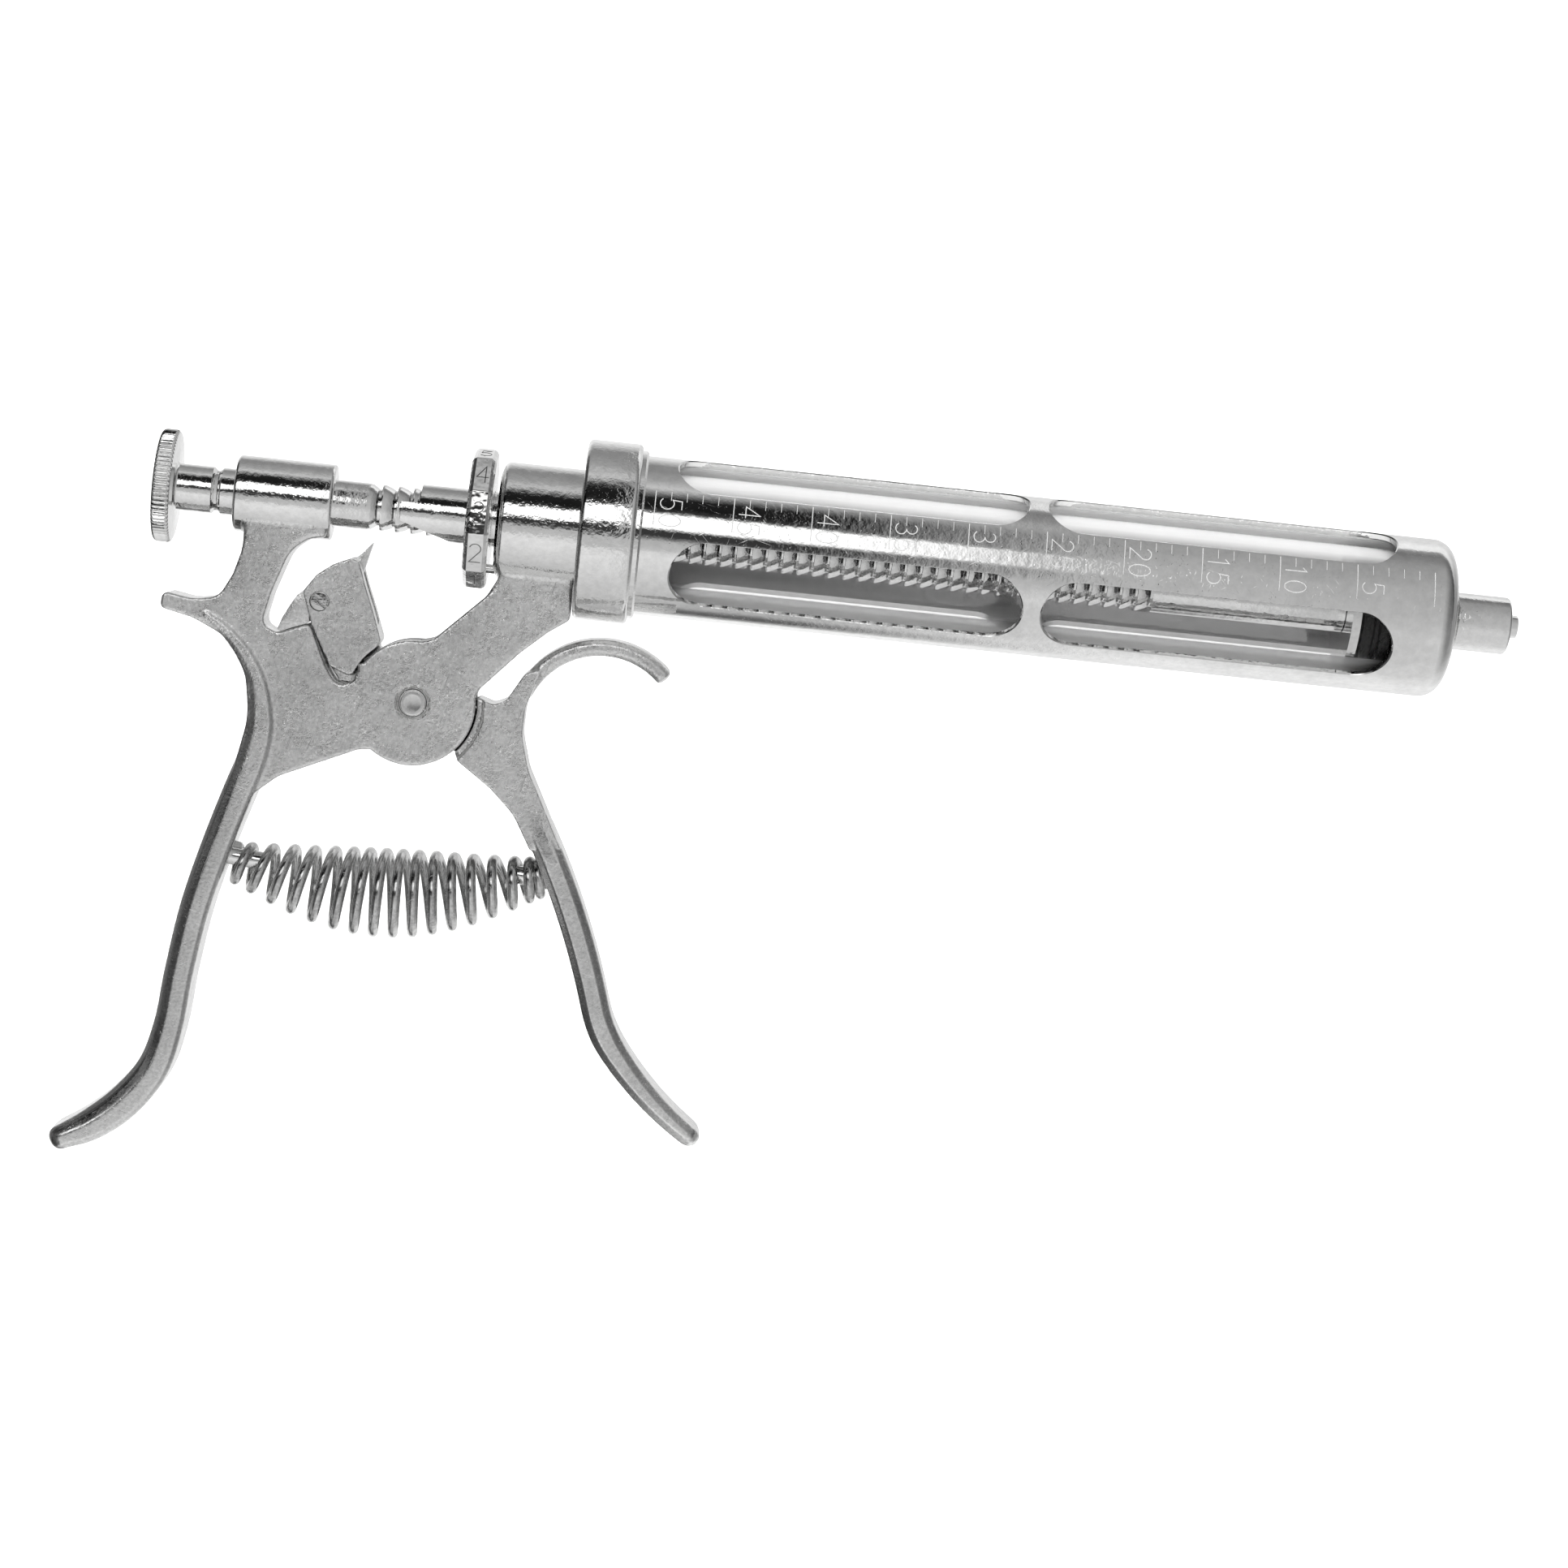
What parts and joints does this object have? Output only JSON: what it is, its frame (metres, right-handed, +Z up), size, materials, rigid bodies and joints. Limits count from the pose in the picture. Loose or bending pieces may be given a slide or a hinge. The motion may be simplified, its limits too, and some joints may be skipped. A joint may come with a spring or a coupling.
{
  "type": "pistol-grip revolver syringe",
  "caption": "All-metal pistol-grip repeating syringe with a glass barrel in a windowed sleeve, toothed piston rod, ten-sided dose wheel and sprung trigger.",
  "frame": {"origin": "on the barrel axis, at the front face of the needle lock collar", "axes": "+X along the barrel, forward through the needle cone; +Z up, away from the handles; Y is the thickness of the tool"},
  "size_m": [0.2424, 0.0308, 0.1312],
  "materials": {
    "cast_nickel": "nickel-plated casting, grainy satin",
    "bright_plate": "polished plating over brass",
    "spring_steel": "drawn spring wire, slightly dark",
    "black_rubber": "matt black rubber",
    "clear_glass": "clear polished glass"
  },
  "bodies": {
    "frame": {"frame": "cast_nickel", "lock_ring": "bright_plate", "barrel_sleeve": "bright_plate", "glass_cylinder": "clear_glass", "rear_gasket": "black_rubber", "front_gasket": "black_rubber", "needle_collar": "bright_plate", "needle_cone": "bright_plate", "guide_tube": "bright_plate", "wheel_ring": "spring_steel", "detent_spring": "spring_steel", "pivot_pin": "bright_plate", "rear_stud": "bright_plate", "main_spring": "spring_steel"},
    "trigger": {"trigger": "cast_nickel", "front_stud": "bright_plate", "pawl_screw": "bright_plate", "pawl_spring": "spring_steel"},
    "pawl": {"pawl": "cast_nickel"},
    "dose_wheel": {"dose_wheel": "bright_plate"},
    "detent": {"detent_pin": "spring_steel"},
    "piston": {"piston_rear_plate": "bright_plate", "piston_rear_seal": "black_rubber", "piston_spacer": "bright_plate", "piston_front_seal": "black_rubber", "piston_front_plate": "bright_plate", "piston_nut": "bright_plate"},
    "rod": {"piston_rod": "bright_plate", "rod_knob": "bright_plate"}
  },
  "joints": [
    {"name": "trigger_squeeze", "type": "hinge", "parent": "frame", "child": "trigger", "pos_m": [-0.1857, 0, -0.0323], "axis": [0, 1, 0], "range_deg": [0, 25], "stiffness_Nm_per_rad": 1.2, "springref_deg": -20.05, "deforming": ["main_spring"]},
    {"name": "pawl_swing", "type": "hinge", "parent": "trigger", "child": "pawl", "pos_m": [-0.203, 0, -0.0167], "axis": [0, 1, 0], "range_deg": [0, 10], "stiffness_Nm_per_rad": 0.05, "springref_deg": -17.19, "deforming": ["pawl_spring"]},
    {"name": "dose_wheel_turn", "type": "hinge", "parent": "frame", "child": "dose_wheel", "pos_m": [-0.1775, 0, 0], "axis": [1, 0, 0], "continuous": true},
    {"name": "detent_press", "type": "slide", "parent": "frame", "child": "detent", "axis": [1, 0, 0], "range_m": [0, 0.0004], "stiffness_N_per_m": 150, "springref_m": -0.001, "deforming": ["detent_spring"]},
    {"name": "piston_slide", "type": "slide", "parent": "frame", "child": "piston", "axis": [1, 0, 0], "range_m": [-0.128, 0.004]},
    {"name": "rod_spin", "type": "hinge", "parent": "piston", "child": "rod", "pos_m": [-0.12, 0, 0], "axis": [1, 0, 0], "continuous": true}
  ]
}
